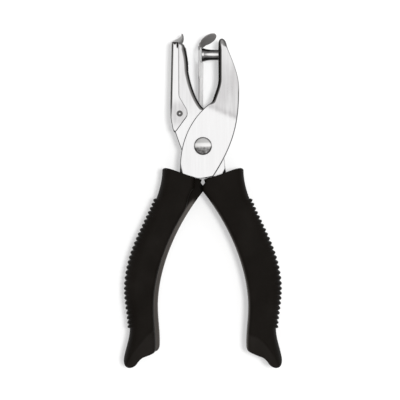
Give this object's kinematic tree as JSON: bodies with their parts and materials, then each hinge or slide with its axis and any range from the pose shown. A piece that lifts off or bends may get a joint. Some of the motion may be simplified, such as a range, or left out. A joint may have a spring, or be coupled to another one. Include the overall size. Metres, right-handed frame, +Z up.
{
  "type": "hole punch pliers",
  "caption": "Squeeze pliers that punch a round hole in paper, with folded steel levers on a rivet, a stripper leaf, a hinged chip catcher and ribbed black grips.",
  "frame": {"origin": "middle of the outline as the pliers lie, on the ground below them", "axes": "+Y towards the jaws, +Z up out of the front with the rivet head, the handles open in the X direction"},
  "size_m": [0.0712, 0.1505, 0.018],
  "materials": {
    "bright_steel": "bright nickel plate, faintly brushed",
    "tool_steel": "ground tool steel",
    "spring_steel": "rolled spring steel, plated",
    "grip_plastic": "satin black moulding"
  },
  "bodies": {
    "punch_side": {"punch_lever": "bright_steel", "punch_pin": "tool_steel", "left_grip": "grip_plastic", "pivot_rivet": "tool_steel", "pivot_washer": "bright_steel", "pivot_bush": "tool_steel", "return_spring": "spring_steel"},
    "die_side": {"die_lever": "bright_steel", "die_bush": "tool_steel", "right_grip": "grip_plastic", "catcher_rivets": "tool_steel"},
    "stripper": {"stripper_leaf": "spring_steel"},
    "catcher": {"chip_catcher": "bright_steel"}
  },
  "joints": [
    {"name": "squeeze", "type": "hinge", "parent": "punch_side", "child": "die_side", "pos_m": [0, 0.02427, 0.009], "axis": [0, 0, -1], "range_deg": [0, 10.5], "stiffness_Nm_per_rad": 2, "springref_deg": -8.59, "deforming": ["return_spring"]},
    {"name": "stripper_flex", "type": "hinge", "parent": "punch_side", "child": "stripper", "pos_m": [0, 0.02427, 0.009], "axis": [0, 0, -1], "range_deg": [0, 4.2]},
    {"name": "catcher_swing", "type": "hinge", "parent": "die_side", "child": "catcher", "pos_m": [-0.0104, 0.03887, 0.009], "axis": [0, 0, 1], "range_deg": [0, 25]}
  ],
  "couplings": [
    {"joint": "stripper_flex", "follows": "squeeze", "ratio": 0.4}
  ]
}
